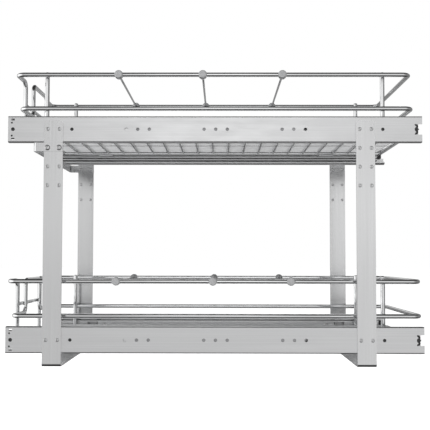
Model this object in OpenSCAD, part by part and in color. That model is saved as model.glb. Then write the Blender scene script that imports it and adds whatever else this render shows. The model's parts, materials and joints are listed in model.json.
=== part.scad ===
// Two-tier pull-out cabinet basket: two wire baskets on ball-bearing slides, carried by
// two U-bent steel strips that are screwed to the cabinet floor. Each basket has three
// dividers that snap on to its rails.
// Millimetres. +Z is up and the baskets pull out towards -Y. Right is +X, as seen by
// someone standing in front. The origin is on the floor, at the middle of the slides.

/* [Frame] */
// Width over the outside of the two uprights
frame_w = 280; // [260:1:360]
// Width of the bent steel strip
strip_w = 25; // [24:0.5:28]
// Thickness of the bent steel strip
strip_t = 2; // [1.6:0.1:2.4]
// Middle of the front frame strip, along the depth
front_strip_y = -214; // [-225:0.5:-205]
// Middle of the rear frame strip, along the depth
rear_strip_y = 199.5; // [190:0.5:210]
// Height of the cross tie's strip
tie_h = 11.5; // [10:0.5:14]
// How far the cross tie stands in front of the uprights
tie_reach = 14; // [10:0.5:25]

/* [Slides] */
// Length of the slides
slide_len = 550; // [550:1:600]
// Height of the slides
slide_h = 35; // [34:0.5:38]
// Thickness of the slides, from the upright to the basket
slide_t = 12.7; // [12.7:0.1:14]
// Height of the lower slides' bottom edge above the floor
lower_slide_z = 17; // [15:0.5:30]
// Height from the lower slides to the upper ones
tier_pitch = 278.5; // [240:0.5:320]
// Balls in each row of a cage
balls_per_row = 18; // [8:1:20]
// Distance from ball to ball
ball_pitch = 13.2; // [10:0.1:14]

/* [Baskets] */
// Diameter of the rails, posts and floor frame wire
rail_d = 6; // [5:0.5:6.5]
// Diameter of the floor's cross wires
floor_wire_d = 3; // [2.5:0.1:3.5]
// Diameter of the wire under the floor
support_wire_d = 4; // [3:0.5:5]
// Bend radius of the rails, at the middle of the wire
bend_r = 10; // [8:0.5:14]
// Height of the floor frame above the slides' bottom edge
floor_up = 16; // [15:0.5:20]
// Height of the second rail above the slides' bottom edge
second_rail_up = 48; // [46:0.5:55]
// Height of the front bar above the slides' bottom edge
front_bar_up = 61; // [58:0.5:70]
// Height of the top rail above the slides' bottom edge
top_rail_up = 94; // [90:0.5:110]
// Half the distance between the legs at the front
leg_x = 72; // [70:1:90]
// Half the width of the raised grip at the front
grip_x = 48; // [35:1:50]
// Upper basket: front and rear of the top rail, middle of the wire
upper_span = [-267, 262]; // [-272:0.5:272]
// Lower basket: front and rear of the top rail, middle of the wire
lower_span = [-275, 272.5]; // [-277:0.5:275]
// Distance between the floor's cross wires
floor_wire_pitch = 24.1; // [20:0.1:24.5]
// Thickness of the liner that lies on the floor wires
liner_t = 1.2; // [0.8:0.1:1.6]

/* [Dividers] */
// Diameter of a divider's wire
divider_d = 3; // [2.5:0.1:3.5]
// Upper basket: where the front, middle and rear dividers stand
upper_dividers = [-130, -16.5, 91]; // [-150:0.5:150]
// Lower basket: where the front, middle and rear dividers stand
lower_dividers = [-132, -2.5, 102]; // [-150:0.5:150]
// Diameter of a clip
clip_d = 11.4; // [10:0.2:13]

/* [Hidden] */

$fn = 32;
RIGHT = 1;
LEFT = -1;
UPPER = 1;
LOWER = 0;
cut = 1; // how far a cutting shape runs past the face that it opens

// Heights of the tiers
function slide_z(tier) = lower_slide_z + tier * tier_pitch;
function slide_mid_z(tier) = slide_z(tier) + slide_h / 2;

// Frame strips
strip_bend_r = 4;
upright_drop = 5.5; // the uprights end this far below the upper slides' top edge
upright_h = slide_z(UPPER) + slide_h - upright_drop;
upright_corner_r = 4;
hole_spread = 15.4; // distance between the two holes of a row
hole_row_pitch = 25;
hole_rows = 4; // rows in an upright at the upper slides, for other basket heights
strip_hole_d = 4.2;
foot_hole_d = 4.5;
foot_hole_x = 100;

// Cross tie, in front of the uprights and under the upper slides
tie_t = 1.5;
tie_z = slide_z(UPPER) - 0.8 - tie_h / 2; // just clear of the slides
tie_x = frame_w / 2 + tie_t;
tie_front_y = front_strip_y - strip_w / 2 - tie_reach;
tie_rear_y = front_strip_y + strip_w / 2;
tie_bend_r = 5;

// Slides: u runs from the upright to the basket, v is the height from the middle
slide_x = frame_w / 2 - strip_t; // back of the outer member
sheet = 1.2;
sheet_bend_r = 1.8;
gap = 0.3; // clearance between pieces that move past each other
outer_ball_d = 3.5;
inner_ball_d = 2.5;
outer_race_r = outer_ball_d / 2 + gap;
inner_race_r = inner_ball_d / 2 + gap;
outer_race_u = slide_t - 0.5 - sheet - outer_race_r;
outer_race_v = slide_h / 2 - sheet - outer_race_r;
middle_web_u = 2.4;
middle_v = outer_race_v - outer_ball_d / 2 - gap; // half the middle member's height
inner_race_u = slide_t - 1.1 - sheet - inner_race_r;
inner_race_v = middle_v - sheet - inner_race_r;
inner_v = inner_race_v - inner_ball_d / 2 - gap; // half the inner member's height
inner_flange_u = 5.2;
outer_lip_angle = -15; // where the curled edges of the outer member end
middle_lip_angle = -8; // and those of the middle member
cage_t = 0.6;
cage_len = (balls_per_row - 1) * ball_pitch + 6;
outer_cage_u = sheet + gap;
inner_cage_u = middle_web_u + sheet + gap;
cage_lip = 0.45; // how far a cage reaches past the balls' centres, in ball radii
pocket_play = 0.1;
middle_span = [-slide_len / 2 + 1, slide_len / 2 - 12.5];
inner_span = [-slide_len / 2 + 0.5, slide_len / 2 - 12.5];

// Holes in the slides
slide_hole_d = 4.5;
hole_group_pitch = 103.6;
hole_group_y = 1.2; // middle of the middle group, from the middle of the slide
lone_holes = [-190, 222.8]; // single holes
end_hole_d = 5;
end_hole_in = 6.5; // from the front end to the middle of its large holes
end_slot = [4.4, 2.6];
end_slot_v = 12.9;
end_dot_d = 2.4;
end_dot_in = 5;
end_dot_v = 8.6;
middle_hole_d = 8;
middle_holes = [0, hole_group_pitch + hole_spread]; // from the middle hole of the middle group
inner_slot = [16, 4.7];
inner_slot_y = 199.3;
inner_slot_v = 2.7;

// Rear bumper, seen through a window in the outer member shaped like a figure 3
notch = [6, 14];
bumper_ring_r = 3.6;
bumper_ring_w = 2.8;
bumper_ring_v = 3.5;
bumper_ring_y = slide_len / 2 - 8.8;
bumper_nose_r = 1;
bumper_waist = [4.6, 3]; // between the rings, along y and v
bumper_body = [8.2, 4.4, 15]; // along u, y and v
bumper_body_y = slide_len / 2 - 7.4;

// Baskets. Welded wires sink into each other by the weld
weld = 0.3;
rail_x = slide_x - slide_t - gap - rail_d / 2;
post_x = rail_x - rail_d + weld;
second_rail_back = rail_d - weld; // the second rail's front lies behind the legs
second_rail_longer = [1, 3]; // how far it ends behind the top rail's rear, lower and upper
front_bar_d = 5;
post_cap = 4.2; // how far a post reaches above the middle of the top rail
upper_posts = [-227.5, 226.5];
lower_posts = [-226, 225];
floor_wire_count = 21;
floor_wire_first = 16; // from the frame's front wire to the first cross wire
floor_wire_rise = 0.5; // cross wires lie this far above the middle of the frame wire
floor_wire_end = 2.2; // cross wires end this far inside the middle of the frame wire
liner_play = 0.5; // between the liner and the frame wire
liner_lift = 0.02; // between the liner and the cross wires

// Tabs between the floor frame and the inner members
tab_w = 22;
tab_t = 1.5;
tab_y = 178;
tab_rise = 0.6; // the tab ends this far below the inner member's top edge
tab_inner_x = post_x - 2.8;
basket_face_x = slide_x - slide_t; // inner face of the slides

// Screws: [head diameter, head height, shank diameter]
tie_screw = [7.4, 2.2, 4];
slide_screw = [5, 0.7, 4];
tab_screw = [7, 2.2, 4];
recess_w = 1.1;
recess_depth = 0.55; // of the head's height
tab_hole_d = 4.2;

// Dividers and their clips
divider_stop = 1.2; // clip's wall between the end of the wire and the rail
clip_play = 0.06;
clip_face = [5, 4.2]; // outer face: from the middle of the rail, and radius
clip_edge = 3.6; // where the chamfer behind the outer face ends
clip_neck = 4.2; // inwards from the middle of the rail, where the cone starts
clip_tip = [8, 2.6]; // inner end: from the middle of the rail, and radius
clip_mouth = 4.4; // narrower than the rail, so that the clip snaps on
clip_mouth_angle = 65; // the mouth looks outwards and this far down

function span(tier) = tier == UPPER ? upper_span : lower_span;
function posts(tier) = tier == UPPER ? upper_posts : lower_posts;
function dividers(tier) = tier == UPPER ? upper_dividers : lower_dividers;
function second_front_y(tier) = span(tier)[0] + second_rail_back;
function second_rear_y(tier) = span(tier)[1] + second_rail_longer[tier];
function floor_z(tier) = slide_z(tier) + floor_up;

// ---------- helpers ----------

// A length of round wire between two points
module straight_wire(a, b, d) {
  way = b - a;
  length = norm(way);
  translate(a)
    rotate([0, acos(way.z / length), atan2(way.y, way.x)])
      cylinder(d = d, h = length);
}

// A right-angled bend at a corner, between two unit directions
module wire_bend(corner, way_in, way_out, radius, d) {
  centre = corner + (way_out - way_in) * radius;
  across = -way_out;
  axis = cross(across, way_in);
  multmatrix([
    [across.x, way_in.x, axis.x, centre.x],
    [across.y, way_in.y, axis.y, centre.y],
    [across.z, way_in.z, axis.z, centre.z],
    [0, 0, 0, 1]
  ])
    rotate_extrude(angle = 90) translate([radius, 0]) circle(d = d);
}

// One bent wire through right-angled corners, open or closed
module bent_wire(points, d, closed = false) {
  n = len(points);
  last = closed ? n - 1 : n - 2;
  for (i = [0 : last]) {
    start = points[i];
    corner = points[(i + 1) % n];
    way = (corner - start) / norm(corner - start);
    start_bend = closed || i > 0 ? bend_r : 0;
    end_bend = closed || i < last ? bend_r : 0;
    straight_wire(start + way * start_bend, corner - way * end_bend, d);
    if (end_bend > 0) {
      after = points[(i + 2) % n] - corner;
      wire_bend(corner, way, after / norm(after), bend_r, d);
    }
  }
}

// A wedge of a flat ring, between two angles
module ring_wedge(r, t, from, to) {
  reach = 2 * (r + t);
  step = (to - from) / 4;
  intersection() {
    difference() {
      circle(r = r + t);
      circle(r = r);
    }
    polygon(concat([[0, 0]], [for (a = [from : step : to + 0.01]) reach * [cos(a), sin(a)]]));
  }
}

// Runs its children along Y from one place to another: x stays x and y becomes z
module run_along_y(from, to) {
  translate([0, to, 0]) rotate([90, 0, 0]) linear_extrude(height = to - from) children();
}

// A hole or rod along X, centred
module rod_x(d, length) {
  rotate([0, 90, 0]) cylinder(d = d, h = length, center = true);
}

// Puts a slide piece, drawn with u along X and v along Z, on its side of its tier
module on_slide(tier, side) {
  mirror([side == RIGHT ? 1 : 0, 0, 0])
    translate([-slide_x, 0, slide_mid_z(tier)])
      children();
}

// A cross-recessed screw: the head's face looks along +Z and the shank runs down
module cross_screw(size, shank_len) {
  head_d = size[0];
  head_h = size[1];
  recess = head_h * recess_depth;
  difference() {
    union() {
      cylinder(d1 = head_d, d2 = head_d * 0.82, h = head_h);
      translate([0, 0, -shank_len]) cylinder(d = size[2], h = shank_len + head_h / 2);
    }
    for (turn = [0, 90])
      rotate([0, 0, turn])
        translate([0, 0, head_h])
          cube([head_d * 0.55, recess_w, 2 * recess], center = true);
  }
}

// ---------- frame ----------

// Outline of a strip's bent U, from the side of the bend
module u_outline(w, r) {
  translate([-w / 2, r]) square([w, upright_h]);
  translate([-w / 2 + r, 0]) square([w - 2 * r, 2 * r]);
  for (side = [LEFT, RIGHT])
    translate([side * (w / 2 - r), r]) circle(r = r);
}

// Face of an upright, with rounded top corners
module upright_face() {
  translate([-strip_w / 2, 0]) square([strip_w, upright_h - upright_corner_r]);
  translate([-strip_w / 2 + upright_corner_r, 0])
    square([strip_w - 2 * upright_corner_r, upright_h]);
  for (side = [LEFT, RIGHT])
    translate([side * (strip_w / 2 - upright_corner_r), upright_h - upright_corner_r])
      circle(r = upright_corner_r);
}

// Height of a row of holes at the upper slides, counted downwards from the slides' own
function row_z(row) = slide_mid_z(UPPER) - row * hole_row_pitch;

module frame_strip(y) {
  rows = concat([slide_mid_z(LOWER)], [for (i = [0 : hole_rows - 1]) row_z(i)]);
  translate([0, y, 0]) difference() {
    intersection() {
      run_along_y(-strip_w / 2, strip_w / 2) difference() {
        u_outline(frame_w, strip_bend_r);
        translate([0, strip_t]) u_outline(frame_w - 2 * strip_t, strip_bend_r - strip_t);
      }
      rotate([90, 0, 90])
        linear_extrude(height = frame_w + 2 * cut, center = true)
          upright_face();
    }
    for (z = rows, side = [-0.5, 0.5])
      translate([0, side * hole_spread, z]) rod_x(strip_hole_d, frame_w + 2 * cut);
    for (side = [LEFT, RIGHT])
      translate([side * foot_hole_x, 0, -cut]) cylinder(d = foot_hole_d, h = strip_t + 2 * cut);
  }
}

module front_frame_strip() {
  color("#c9cacc") frame_strip(front_strip_y);
}

module rear_frame_strip() {
  color("#c9cacc") frame_strip(rear_strip_y);
}

// Plan of the cross tie's outer edge, open at the back
module tie_plan(x, front, r) {
  translate([-x, front + r]) square([2 * x, tie_rear_y - front - r]);
  translate([-x + r, front]) square([2 * (x - r), 2 * r]);
  for (side = [LEFT, RIGHT])
    translate([side * (x - r), front + r]) circle(r = r);
}

module cross_tie() {
  color("#bfc0c2") difference() {
    translate([0, 0, tie_z - tie_h / 2]) linear_extrude(height = tie_h) difference() {
      tie_plan(tie_x, tie_front_y, tie_bend_r);
      translate([-frame_w / 2, tie_front_y + tie_t + tie_bend_r]) square([frame_w, 100]);
      tie_plan(frame_w / 2, tie_front_y + tie_t, tie_bend_r - tie_t);
    }
    for (side = [-0.5, 0.5])
      translate([0, front_strip_y + side * hole_spread, row_z(1)])
        rod_x(strip_hole_d, 2 * tie_x + 2 * cut);
  }
}

module cross_tie_screws() {
  color("#8d8e90")
    for (side = [LEFT, RIGHT], place = [-0.5, 0.5])
      translate([side * tie_x, front_strip_y + place * hole_spread, row_z(1)])
        rotate([0, side * 90, 0])
          cross_screw(tie_screw, tie_t + strip_t + 1.5);
}

// Two rows of screws, one in each side's upright
module screw_rows(strip_y, z) {
  for (side = [LEFT, RIGHT], place = [-0.5, 0.5])
    translate([side * frame_w / 2, strip_y + place * hole_spread, z])
      rotate([0, side * 90, 0])
        cross_screw(slide_screw, strip_t + sheet);
}

// They hold the slides, and spare ones fill the rows that neither slides nor tie use
module slide_fixing_screws() {
  color("#b5b6b8") {
    for (strip_y = [front_strip_y, rear_strip_y], tier = [LOWER, UPPER])
      screw_rows(strip_y, slide_mid_z(tier));
    for (row = [2 : hole_rows - 1]) screw_rows(front_strip_y, row_z(row));
    for (row = [1 : hole_rows - 1]) screw_rows(rear_strip_y, row_z(row));
  }
}

// ---------- slides ----------

// Section of a channel that opens towards the basket, its edges curled round the balls
module channel_section(web_u, half_h, race_u, race_r, lip_angle) {
  race_v = half_h - sheet - race_r;
  bend = sheet_bend_r;
  translate([web_u, -half_h + bend]) square([sheet, 2 * (half_h - bend)]);
  for (end = [0, 1]) mirror([0, end]) {
    translate([web_u + bend, half_h - bend]) ring_wedge(bend - sheet, sheet, 90, 180);
    translate([web_u + bend, half_h - sheet]) square([race_u - web_u - bend, sheet]);
    translate([race_u, race_v]) ring_wedge(race_r, sheet, lip_angle, 90);
  }
}

// Section of the inner member, a channel that opens towards the middle member
module inner_section() {
  bend = sheet_bend_r;
  translate([slide_t - sheet, -inner_v + bend]) square([sheet, 2 * (inner_v - bend)]);
  for (end = [0, 1]) mirror([0, end]) {
    translate([slide_t - bend, inner_v - bend]) ring_wedge(bend - sheet, sheet, 0, 90);
    translate([inner_flange_u, inner_v - sheet])
      square([slide_t - bend - inner_flange_u, sheet]);
  }
}

// Section of a ball cage: a thin channel whose edges carry the balls
module cage_section(web_u, race_u, race_v, ball_d) {
  edge_u = race_u + cage_lip * ball_d / 2;
  translate([web_u, -race_v - cage_t / 2]) square([cage_t, 2 * race_v + cage_t]);
  for (side = [LEFT, RIGHT])
    translate([web_u, side * race_v - cage_t / 2]) square([edge_u - web_u, cage_t]);
}

// Figure 3 of the bumper and its window, in the Y-Z plane
module bumper_face(play) {
  for (side = [LEFT, RIGHT])
    translate([bumper_ring_y, side * bumper_ring_v])
      ring_wedge(bumper_ring_r - bumper_ring_w - play, bumper_ring_w + 2 * play, -110, 110);
  translate([bumper_ring_y + bumper_ring_r, 0]) circle(r = bumper_nose_r + play);
  translate([bumper_ring_y + bumper_ring_r - bumper_waist[0], -bumper_waist[1] / 2 - play])
    square([bumper_waist[0], bumper_waist[1] + 2 * play]);
}

module outer_member(tier, side) {
  half = slide_len / 2;
  color("#c6c7c8") on_slide(tier, side) difference() {
    run_along_y(-half, half)
      channel_section(0, slide_h / 2, outer_race_u, outer_race_r, outer_lip_angle);
    for (group = [-1 : 1], place = [-1 : 1])
      translate([0, hole_group_y + group * hole_group_pitch + place * hole_spread, 0])
        rod_x(slide_hole_d, 4 * sheet);
    for (y = lone_holes) translate([0, y, 0]) rod_x(slide_hole_d, 4 * sheet);
    for (y = [front_strip_y, rear_strip_y], place = [-0.5, 0.5])
      translate([0, y + place * hole_spread, 0]) rod_x(strip_hole_d, 4 * sheet);
    translate([0, -half + end_hole_in, 0]) rod_x(end_hole_d, 4 * sheet);
    for (end = [LEFT, RIGHT]) {
      translate([0, -half + end_hole_in, end * end_slot_v])
        cube([4 * sheet, end_slot[0], end_slot[1]], center = true);
      translate([0, -half + end_dot_in, end * end_dot_v]) rod_x(end_dot_d, 4 * sheet);
    }
    translate([0, half, 0]) cube([4 * sheet, 2 * notch[0], notch[1]], center = true);
    rotate([90, 0, 90]) linear_extrude(height = 4 * sheet, center = true) bumper_face(0);
  }
}

module middle_member(tier, side) {
  color("#b9babc") on_slide(tier, side) difference() {
    run_along_y(middle_span[0], middle_span[1])
      channel_section(middle_web_u, middle_v, inner_race_u, inner_race_r, middle_lip_angle);
    for (y = middle_holes)
      translate([middle_web_u, hole_group_y + y, 0]) rod_x(middle_hole_d, 4 * sheet);
  }
}

module inner_member(tier, side) {
  color("#cccdce") on_slide(tier, side) difference() {
    run_along_y(inner_span[0], inner_span[1]) inner_section();
    for (end = [LEFT, RIGHT]) {
      translate([slide_t, end * inner_slot_y, inner_slot_v])
        cube([4 * sheet, inner_slot[0], inner_slot[1]], center = true);
      translate([slide_t, end * tab_y, 0]) rod_x(tab_hole_d, 4 * sheet);
    }
  }
}

// Where each ball of a row sits along the slide
function ball_places() = [for (i = [0 : balls_per_row - 1]) (i - (balls_per_row - 1) / 2) * ball_pitch];

module ball_cage(tier, side, web_u, race_u, race_v, ball_d) {
  color("#77787a") on_slide(tier, side) difference() {
    run_along_y(-cage_len / 2, cage_len / 2) cage_section(web_u, race_u, race_v, ball_d);
    for (y = ball_places())
      translate([race_u, y, 0])
        cylinder(d = ball_d + 2 * pocket_play, h = slide_h, center = true);
  }
}

module outer_cage(tier, side) {
  ball_cage(tier, side, outer_cage_u, outer_race_u, outer_race_v, outer_ball_d);
}

module inner_cage(tier, side) {
  ball_cage(tier, side, inner_cage_u, inner_race_u, inner_race_v, inner_ball_d);
}

module ball_set(tier, race_u, race_v, ball_d) {
  color("#e6e6e6")
    for (side = [LEFT, RIGHT], row = [-1, 1], y = ball_places())
      on_slide(tier, side) translate([race_u, y, row * race_v]) sphere(d = ball_d);
}

module outer_balls(tier) {
  ball_set(tier, outer_race_u, outer_race_v, outer_ball_d);
}

module inner_balls(tier) {
  ball_set(tier, inner_race_u, inner_race_v, inner_ball_d);
}

module slide_rear_bumpers() {
  color("#1c1c1c")
    for (tier = [LOWER, UPPER], side = [LEFT, RIGHT])
      on_slide(tier, side) {
        rotate([90, 0, 90]) linear_extrude(height = sheet + cut) bumper_face(0);
        translate([sheet + bumper_body[0] / 2, bumper_body_y, 0]) cube(bumper_body, center = true);
      }
}

// ---------- baskets ----------

module top_rail(tier) {
  front = span(tier)[0];
  rear = span(tier)[1];
  z = slide_z(tier) + top_rail_up;
  foot_z = floor_z(tier) - rail_d / 2;
  color("#d4d5d6") bent_wire([
    [leg_x, front, foot_z],
    [leg_x, front, z],
    [rail_x, front, z],
    [rail_x, rear, z],
    [-rail_x, rear, z],
    [-rail_x, front, z],
    [-leg_x, front, z],
    [-leg_x, front, foot_z]
  ], rail_d);
}

module second_rail(tier) {
  front = second_front_y(tier);
  rear = second_rear_y(tier);
  z = slide_z(tier) + second_rail_up;
  grip_z = slide_z(tier) + top_rail_up;
  color("#d4d5d6") bent_wire([
    [grip_x, front, z],
    [rail_x, front, z],
    [rail_x, rear, z],
    [-rail_x, rear, z],
    [-rail_x, front, z],
    [-grip_x, front, z],
    [-grip_x, front, grip_z],
    [grip_x, front, grip_z]
  ], rail_d, closed = true);
}

module front_bar(tier) {
  end = leg_x - rail_d / 2 + weld;
  bar_y = span(tier)[0] + (rail_d - front_bar_d) / 2;
  bar_z = slide_z(tier) + front_bar_up;
  color("#d4d5d6") straight_wire([-end, bar_y, bar_z], [end, bar_y, bar_z], front_bar_d);
}

module side_posts(tier) {
  foot_z = floor_z(tier) + rail_d / 2 - weld;
  cap_z = slide_z(tier) + top_rail_up + post_cap;
  color("#d4d5d6")
    for (side = [LEFT, RIGHT], y = posts(tier))
      straight_wire([side * post_x, y, foot_z], [side * post_x, y, cap_z], rail_d);
}

module floor_frame(tier) {
  front = second_front_y(tier);
  rear = second_rear_y(tier);
  z = floor_z(tier);
  color("#cfd0d1") bent_wire([
    [post_x, front, z],
    [post_x, rear, z],
    [-post_x, rear, z],
    [-post_x, front, z]
  ], rail_d, closed = true);
}

// The floor's cross wires, welded to one long wire that runs under them
module floor_wires(tier) {
  z = floor_z(tier) + floor_wire_rise;
  end = post_x - floor_wire_end;
  first = second_front_y(tier) + floor_wire_first;
  count = tier == UPPER ? floor_wire_count : floor_wire_count + 1;
  support_z = z - (floor_wire_d + support_wire_d) / 2 + weld;
  front = second_front_y(tier) + rail_d / 2 - weld;
  rear = second_rear_y(tier) - rail_d / 2 + weld;
  color("#c4c5c6") {
    for (i = [0 : count - 1]) {
      y = first + i * floor_wire_pitch;
      straight_wire([-end, y, z], [end, y, z], floor_wire_d);
    }
    straight_wire([0, front, support_z], [0, rear, support_z], support_wire_d);
  }
}

// A loose sheet that lies on the cross wires, inside the floor frame
module floor_liner(tier) {
  edge = rail_d / 2 + liner_play;
  corner_r = bend_r - edge;
  x = post_x - edge - corner_r;
  front = second_front_y(tier) + edge + corner_r;
  rear = second_rear_y(tier) - edge - corner_r;
  z = floor_z(tier) + floor_wire_rise + floor_wire_d / 2 + liner_lift;
  color("#b4b5b6") translate([0, 0, z]) linear_extrude(height = liner_t) {
    translate([-x, front - corner_r]) square([2 * x, rear - front + 2 * corner_r]);
    translate([-x - corner_r, front]) square([2 * (x + corner_r), rear - front]);
    for (side = [LEFT, RIGHT], y = [front, rear])
      translate([side * x, y]) circle(r = corner_r);
  }
}

module mounting_tabs(tier) {
  top_z = slide_mid_z(tier) + inner_v - tab_rise;
  shelf_z = floor_z(tier) - rail_d / 2 + weld;
  color("#b0b1b3")
    for (side = [LEFT, RIGHT], end = [LEFT, RIGHT])
      mirror([side == LEFT ? 1 : 0, 0, 0]) translate([0, end * tab_y, 0]) difference() {
        union() {
          translate([basket_face_x - tab_t, -tab_w / 2, shelf_z - tab_t])
            cube([tab_t, tab_w, top_z - shelf_z + tab_t]);
          translate([tab_inner_x, -tab_w / 2, shelf_z - tab_t])
            cube([basket_face_x - tab_inner_x, tab_w, tab_t]);
        }
        translate([basket_face_x, 0, slide_mid_z(tier)]) rod_x(tab_hole_d, 6 * tab_t);
      }
}

module mounting_screws(tier) {
  color("#8d8e90")
    for (side = [LEFT, RIGHT], end = [LEFT, RIGHT])
      translate([side * (basket_face_x - tab_t), end * tab_y, slide_mid_z(tier)])
        rotate([0, -side * 90, 0])
          cross_screw(tab_screw, tab_t + sheet + 1);
}

// ---------- dividers ----------

module divider(tier, place) {
  end = rail_x - rail_d / 2 - divider_stop;
  y = dividers(tier)[place];
  z = slide_z(tier) + top_rail_up;
  color("#c4c5c6") straight_wire([-end, y, z], [end, y, z], divider_d);
}

// Half outline of a clip's round body, turned about the X axis
module clip_outline() {
  r = clip_d / 2;
  polygon([
    [0, -clip_tip[0]],
    [clip_tip[1], -clip_tip[0]],
    [r, -clip_neck],
    [r, clip_edge],
    [clip_face[1], clip_face[0]],
    [0, clip_face[0]]
  ]);
}

// A clip snaps on to the rail from above, and its inner end holds the end of the wire
module divider_clip() {
  wire_end = rail_d / 2 + divider_stop;
  difference() {
    rotate([0, 90, 0]) rotate_extrude() clip_outline();
    rotate([90, 0, 0]) cylinder(d = rail_d + 2 * clip_play, h = clip_d + 2 * cut, center = true);
    translate([-clip_tip[0] - cut, 0, 0])
      rotate([0, 90, 0])
        cylinder(d = divider_d, h = clip_tip[0] + cut - wire_end);
    rotate([0, clip_mouth_angle, 0])
      translate([0, -clip_d, -clip_mouth / 2])
        cube([clip_d, 2 * clip_d, clip_mouth]);
  }
}

module divider_clips(tier, place) {
  color("#8c8d8f")
    for (side = [LEFT, RIGHT])
      mirror([side == LEFT ? 1 : 0, 0, 0])
        translate([rail_x, dividers(tier)[place], slide_z(tier) + top_rail_up])
          divider_clip();
}

// ---------- the whole object ----------

front_frame_strip();
rear_frame_strip();
cross_tie();
cross_tie_screws();
slide_fixing_screws();
slide_rear_bumpers();

outer_member(UPPER, RIGHT);  // upper_right_outer_member
middle_member(UPPER, RIGHT);  // upper_right_middle_member
inner_member(UPPER, RIGHT);  // upper_right_inner_member
outer_cage(UPPER, RIGHT);  // upper_right_outer_cage
inner_cage(UPPER, RIGHT);  // upper_right_inner_cage
outer_member(UPPER, LEFT);  // upper_left_outer_member
middle_member(UPPER, LEFT);  // upper_left_middle_member
inner_member(UPPER, LEFT);  // upper_left_inner_member
outer_cage(UPPER, LEFT);  // upper_left_outer_cage
inner_cage(UPPER, LEFT);  // upper_left_inner_cage
outer_balls(UPPER);  // upper_outer_balls
inner_balls(UPPER);  // upper_inner_balls

outer_member(LOWER, RIGHT);  // lower_right_outer_member
middle_member(LOWER, RIGHT);  // lower_right_middle_member
inner_member(LOWER, RIGHT);  // lower_right_inner_member
outer_cage(LOWER, RIGHT);  // lower_right_outer_cage
inner_cage(LOWER, RIGHT);  // lower_right_inner_cage
outer_member(LOWER, LEFT);  // lower_left_outer_member
middle_member(LOWER, LEFT);  // lower_left_middle_member
inner_member(LOWER, LEFT);  // lower_left_inner_member
outer_cage(LOWER, LEFT);  // lower_left_outer_cage
inner_cage(LOWER, LEFT);  // lower_left_inner_cage
outer_balls(LOWER);  // lower_outer_balls
inner_balls(LOWER);  // lower_inner_balls

top_rail(UPPER);  // upper_top_rail
second_rail(UPPER);  // upper_second_rail
front_bar(UPPER);  // upper_front_bar
side_posts(UPPER);  // upper_side_posts
floor_frame(UPPER);  // upper_floor_frame
floor_wires(UPPER);  // upper_floor_wires
floor_liner(UPPER);  // upper_floor_liner
mounting_tabs(UPPER);  // upper_mounting_tabs
mounting_screws(UPPER);  // upper_mounting_screws

top_rail(LOWER);  // lower_top_rail
second_rail(LOWER);  // lower_second_rail
front_bar(LOWER);  // lower_front_bar
side_posts(LOWER);  // lower_side_posts
floor_frame(LOWER);  // lower_floor_frame
floor_wires(LOWER);  // lower_floor_wires
floor_liner(LOWER);  // lower_floor_liner
mounting_tabs(LOWER);  // lower_mounting_tabs
mounting_screws(LOWER);  // lower_mounting_screws

divider(UPPER, 0);  // upper_front_divider
divider_clips(UPPER, 0);  // upper_front_divider_clips
divider(UPPER, 1);  // upper_middle_divider
divider_clips(UPPER, 1);  // upper_middle_divider_clips
divider(UPPER, 2);  // upper_rear_divider
divider_clips(UPPER, 2);  // upper_rear_divider_clips

divider(LOWER, 0);  // lower_front_divider
divider_clips(LOWER, 0);  // lower_front_divider_clips
divider(LOWER, 1);  // lower_middle_divider
divider_clips(LOWER, 1);  // lower_middle_divider_clips
divider(LOWER, 2);  // lower_rear_divider
divider_clips(LOWER, 2);  // lower_rear_divider_clips
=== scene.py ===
"""Looks of a two-tier pull-out cabinet basket, built round its packed frame.

Two wire baskets with dividers ride on ball-bearing slides between two U-bent steel
strips. Metres, +Z up; the baskets pull out along -Y and +X is the right-hand side.
"""

import json
import math
from functools import partial, reduce

import bmesh
import bpy
from mathutils import Matrix, Vector

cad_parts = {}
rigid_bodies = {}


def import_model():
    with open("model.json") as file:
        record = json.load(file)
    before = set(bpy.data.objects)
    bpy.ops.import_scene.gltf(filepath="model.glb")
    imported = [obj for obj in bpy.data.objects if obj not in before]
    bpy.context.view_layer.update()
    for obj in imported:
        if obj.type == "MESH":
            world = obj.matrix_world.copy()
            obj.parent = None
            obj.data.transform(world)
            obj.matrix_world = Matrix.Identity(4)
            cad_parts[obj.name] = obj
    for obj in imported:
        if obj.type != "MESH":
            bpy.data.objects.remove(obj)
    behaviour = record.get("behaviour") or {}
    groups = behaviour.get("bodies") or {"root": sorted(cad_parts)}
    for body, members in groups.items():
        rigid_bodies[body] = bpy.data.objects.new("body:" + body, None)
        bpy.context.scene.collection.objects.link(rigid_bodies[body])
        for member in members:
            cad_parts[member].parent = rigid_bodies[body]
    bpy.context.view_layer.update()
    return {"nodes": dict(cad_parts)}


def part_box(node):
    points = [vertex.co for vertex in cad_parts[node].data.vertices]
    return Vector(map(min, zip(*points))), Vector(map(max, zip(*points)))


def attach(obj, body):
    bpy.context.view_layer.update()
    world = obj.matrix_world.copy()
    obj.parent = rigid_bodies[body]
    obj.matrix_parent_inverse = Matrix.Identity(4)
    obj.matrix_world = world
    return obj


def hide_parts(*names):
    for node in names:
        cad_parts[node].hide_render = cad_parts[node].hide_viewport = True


bl_info = {
    "name": "Two-tier cabinet basket",
    "version": (1, 0, 0),
    "blender": (4, 5, 0),
    "location": "3D View > Sidebar > Cabinet basket",
    "description": "Wires, slides, clips, finishes and stage of a two-tier pull-out cabinet basket",
    "category": "Object",
}

for leftover in list(bpy.data.objects):
    bpy.data.objects.remove(leftover)
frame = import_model()

TIERS = ("upper", "lower")
SIDES = ("right", "left")
PLACES = ("front", "middle", "rear")

# From this angle an edge is sharp, up to this one faces are one flat face, and points
# closer than this are one point.
SHARP = math.radians(35)
FLAT = math.radians(0.4)
MERGE = 2e-6

# Faces round a screw, and how much a weld bead's size may differ.
SCREW_SIDES = 32
BEAD_SPREAD = (0.85, 1.12)

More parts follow.
